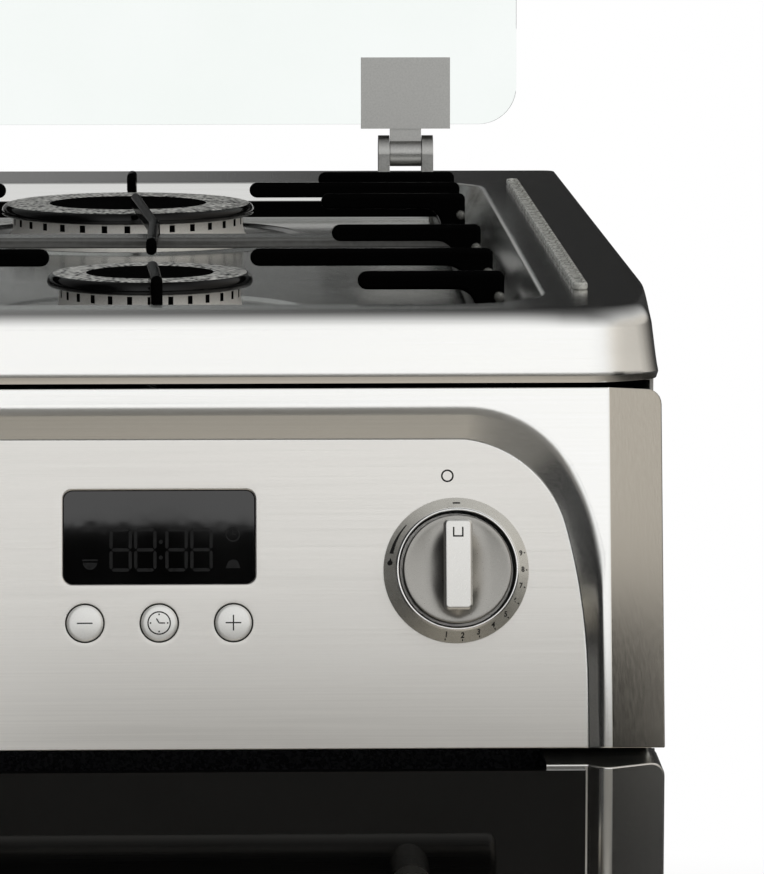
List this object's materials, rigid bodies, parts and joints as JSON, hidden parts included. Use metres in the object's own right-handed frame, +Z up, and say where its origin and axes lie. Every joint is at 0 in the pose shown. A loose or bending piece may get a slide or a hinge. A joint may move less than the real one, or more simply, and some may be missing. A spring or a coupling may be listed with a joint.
{
  "type": "freestanding gas cooker",
  "caption": "Freestanding stainless gas cooker with a hob under a folding glass lid, a tilted control panel with a timer, a top oven with grill and a main oven.",
  "frame": {"origin": "centre of the bounding box, on the floor", "axes": "+X to the cooker's right as seen from the front, +Y into the cooker (the front faces -Y), +Z up"},
  "size_m": [0.6, 0.645, 1.4354],
  "materials": {
    "brushed_stainless": "horizontally brushed stainless steel sheet",
    "satin_stainless": "satin polished stainless steel pressing",
    "knob_metal": "satin metal knob with a bright grip bar",
    "bezel_metal": "turned and brushed metal bezel",
    "button_metal": "pearl silver button cap",
    "timer_glass": "black display window",
    "timer_plastic": "moulded module case",
    "black_enamel_iron": "gloss black vitreous enamel on iron",
    "black_enamel_steel": "gloss black vitreous enamel on pressed steel",
    "burner_alloy": "matt die-cast aluminium",
    "electrode_ceramic": "glazed white ceramic",
    "silicone_strip": "translucent grey silicone",
    "buffer_silicone": "light grey moulded silicone",
    "lid_pane": "toughened clear glass",
    "hinge_steel": "plated steel",
    "black_rubber": "black heat resistant rubber",
    "black_door_glass": "black back-printed toughened glass",
    "handle_steel": "brushed stainless tube",
    "oven_enamel": "dark speckled vitreous enamel",
    "case_paint": "silver grey stoved paint",
    "zinc_steel": "galvanised sheet",
    "mineral_wool": "mineral wool blanket",
    "chrome_wire": "chromed wire",
    "aluminised_steel": "aluminised steel",
    "gas_steel": "plated steel tube",
    "tap_brass": "turned and forged brass",
    "pipe_aluminium": "drawn aluminium tube",
    "foot_plastic": "black moulded plastic"
  },
  "bodies": {
    "cooker_body": {"control_panel": "brushed_stainless", "plinth": "brushed_stainless", "hob_top": "satin_stainless", "knob_bezels": "bezel_metal", "timer_window": "timer_glass", "timer_module": "timer_plastic", "burner_caps": "black_enamel_steel", "burner_crowns": "burner_alloy", "burner_cups": "burner_alloy", "burner_electrodes": "electrode_ceramic", "lid_rest_strips": "silicone_strip", "lid_hinge_posts": "hinge_steel", "door_hinge_arms": "hinge_steel", "oven_door_seals": "black_rubber", "top_oven_liner": "oven_enamel", "main_oven_liner": "oven_enamel", "side_panels": "case_paint", "front_frame": "case_paint", "base_tray": "zinc_steel", "rear_panel": "zinc_steel", "flue_duct": "zinc_steel", "rear_panel_screws": "zinc_steel", "oven_insulation": "mineral_wool", "shelf_runners": "chrome_wire", "oven_burners": "aluminised_steel", "gas_manifold": "gas_steel", "gas_inlet": "gas_steel", "gas_taps": "tap_brass", "burner_pipes": "pipe_aluminium", "levelling_feet": "foot_plastic"},
    "top_door": {"top_door_skin": "brushed_stainless", "top_door_glass": "black_door_glass", "top_door_liner": "oven_enamel", "top_door_handle": "handle_steel", "top_door_hinge_brackets": "hinge_steel"},
    "main_door": {"main_door_skin": "brushed_stainless", "main_door_glass": "black_door_glass", "main_door_liner": "oven_enamel", "main_door_handle": "handle_steel", "main_door_hinge_brackets": "hinge_steel"},
    "lid": {"lid_glass": "lid_pane", "lid_hinge_leaves": "hinge_steel", "lid_buffers": "black_rubber"},
    "left_pan_support": {"pan_support_left": "black_enamel_iron", "support_buffers_left": "buffer_silicone"},
    "right_pan_support": {"pan_support_right": "black_enamel_iron", "support_buffers_right": "buffer_silicone"},
    "main_shelf_lower": {"main_oven_shelf_lower": "chrome_wire"},
    "main_shelf_upper": {"main_oven_shelf_upper": "chrome_wire"},
    "grill_shelf": {"top_oven_shelf": "chrome_wire", "grill_pan": "oven_enamel"},
    "knob_front_left_body": {"knob_front_left": "knob_metal"},
    "knob_rear_left_body": {"knob_rear_left": "knob_metal"},
    "knob_rear_right_body": {"knob_rear_right": "knob_metal"},
    "knob_front_right_body": {"knob_front_right": "knob_metal"},
    "knob_main_oven_body": {"knob_main_oven": "knob_metal"},
    "knob_top_oven_grill_body": {"knob_top_oven_grill": "knob_metal"},
    "timer_button_minus_body": {"timer_button_minus": "button_metal"},
    "timer_button_clock_body": {"timer_button_clock": "button_metal"},
    "timer_button_plus_body": {"timer_button_plus": "button_metal"}
  },
  "joints": [
    {"name": "top_door_hinge", "type": "hinge", "parent": "cooker_body", "child": "top_door", "pos_m": [0, -0.266, 0.509], "axis": [1, 0, 0], "range_deg": [0, 90], "stiffness_Nm_per_rad": 2, "springref_deg": -28.65},
    {"name": "main_door_hinge", "type": "hinge", "parent": "cooker_body", "child": "main_door", "pos_m": [0, -0.266, 0.107], "axis": [1, 0, 0], "range_deg": [0, 90], "stiffness_Nm_per_rad": 2, "springref_deg": -28.65},
    {"name": "lid_hinge", "type": "hinge", "parent": "cooker_body", "child": "lid", "pos_m": [0, 0.285, 0.911], "axis": [-1, 0, 0], "range_deg": [-93, 0]},
    {"name": "left_pan_support_lift", "type": "slide", "parent": "cooker_body", "child": "left_pan_support", "axis": [0, 0, 1], "range_m": [0, 0.12]},
    {"name": "right_pan_support_lift", "type": "slide", "parent": "cooker_body", "child": "right_pan_support", "axis": [0, 0, 1], "range_m": [0, 0.12]},
    {"name": "main_shelf_lower_slide", "type": "slide", "parent": "cooker_body", "child": "main_shelf_lower", "axis": [0, -1, 0], "range_m": [0, 0.045]},
    {"name": "main_shelf_upper_slide", "type": "slide", "parent": "cooker_body", "child": "main_shelf_upper", "axis": [0, -1, 0], "range_m": [0, 0.045]},
    {"name": "grill_shelf_slide", "type": "slide", "parent": "cooker_body", "child": "grill_shelf", "axis": [0, -1, 0], "range_m": [0, 0.045]},
    {"name": "knob_front_left_turn", "type": "hinge", "parent": "cooker_body", "child": "knob_front_left_body", "pos_m": [-0.2304, -0.26512, 0.81463], "axis": [0, -0.9781, 0.2079], "range_deg": [0, 240]},
    {"name": "knob_rear_left_turn", "type": "hinge", "parent": "cooker_body", "child": "knob_rear_left_body", "pos_m": [-0.1604, -0.26512, 0.81463], "axis": [0, -0.9781, 0.2079], "range_deg": [0, 240]},
    {"name": "knob_rear_right_turn", "type": "hinge", "parent": "cooker_body", "child": "knob_rear_right_body", "pos_m": [-0.0904, -0.26512, 0.81463], "axis": [0, -0.9781, 0.2079], "range_deg": [0, 240]},
    {"name": "knob_front_right_turn", "type": "hinge", "parent": "cooker_body", "child": "knob_front_right_body", "pos_m": [-0.0204, -0.26512, 0.81463], "axis": [0, -0.9781, 0.2079], "range_deg": [0, 240]},
    {"name": "knob_main_oven_turn", "type": "hinge", "parent": "cooker_body", "child": "knob_main_oven_body", "pos_m": [0.0496, -0.26512, 0.81463], "axis": [0, -0.9781, 0.2079], "range_deg": [-200, 0]},
    {"name": "knob_top_oven_grill_turn", "type": "hinge", "parent": "cooker_body", "child": "knob_top_oven_grill_body", "pos_m": [0.2304, -0.26512, 0.81463], "axis": [0, -0.9781, 0.2079], "range_deg": [-175, 80]},
    {"name": "timer_button_minus_press", "type": "slide", "parent": "cooker_body", "child": "timer_button_minus_body", "axis": [0, 0.9781, -0.2079], "range_m": [0, 0.0015], "stiffness_N_per_m": 400},
    {"name": "timer_button_clock_press", "type": "slide", "parent": "cooker_body", "child": "timer_button_clock_body", "axis": [0, 0.9781, -0.2079], "range_m": [0, 0.0015], "stiffness_N_per_m": 400},
    {"name": "timer_button_plus_press", "type": "slide", "parent": "cooker_body", "child": "timer_button_plus_body", "axis": [0, 0.9781, -0.2079], "range_m": [0, 0.0015], "stiffness_N_per_m": 400}
  ]
}
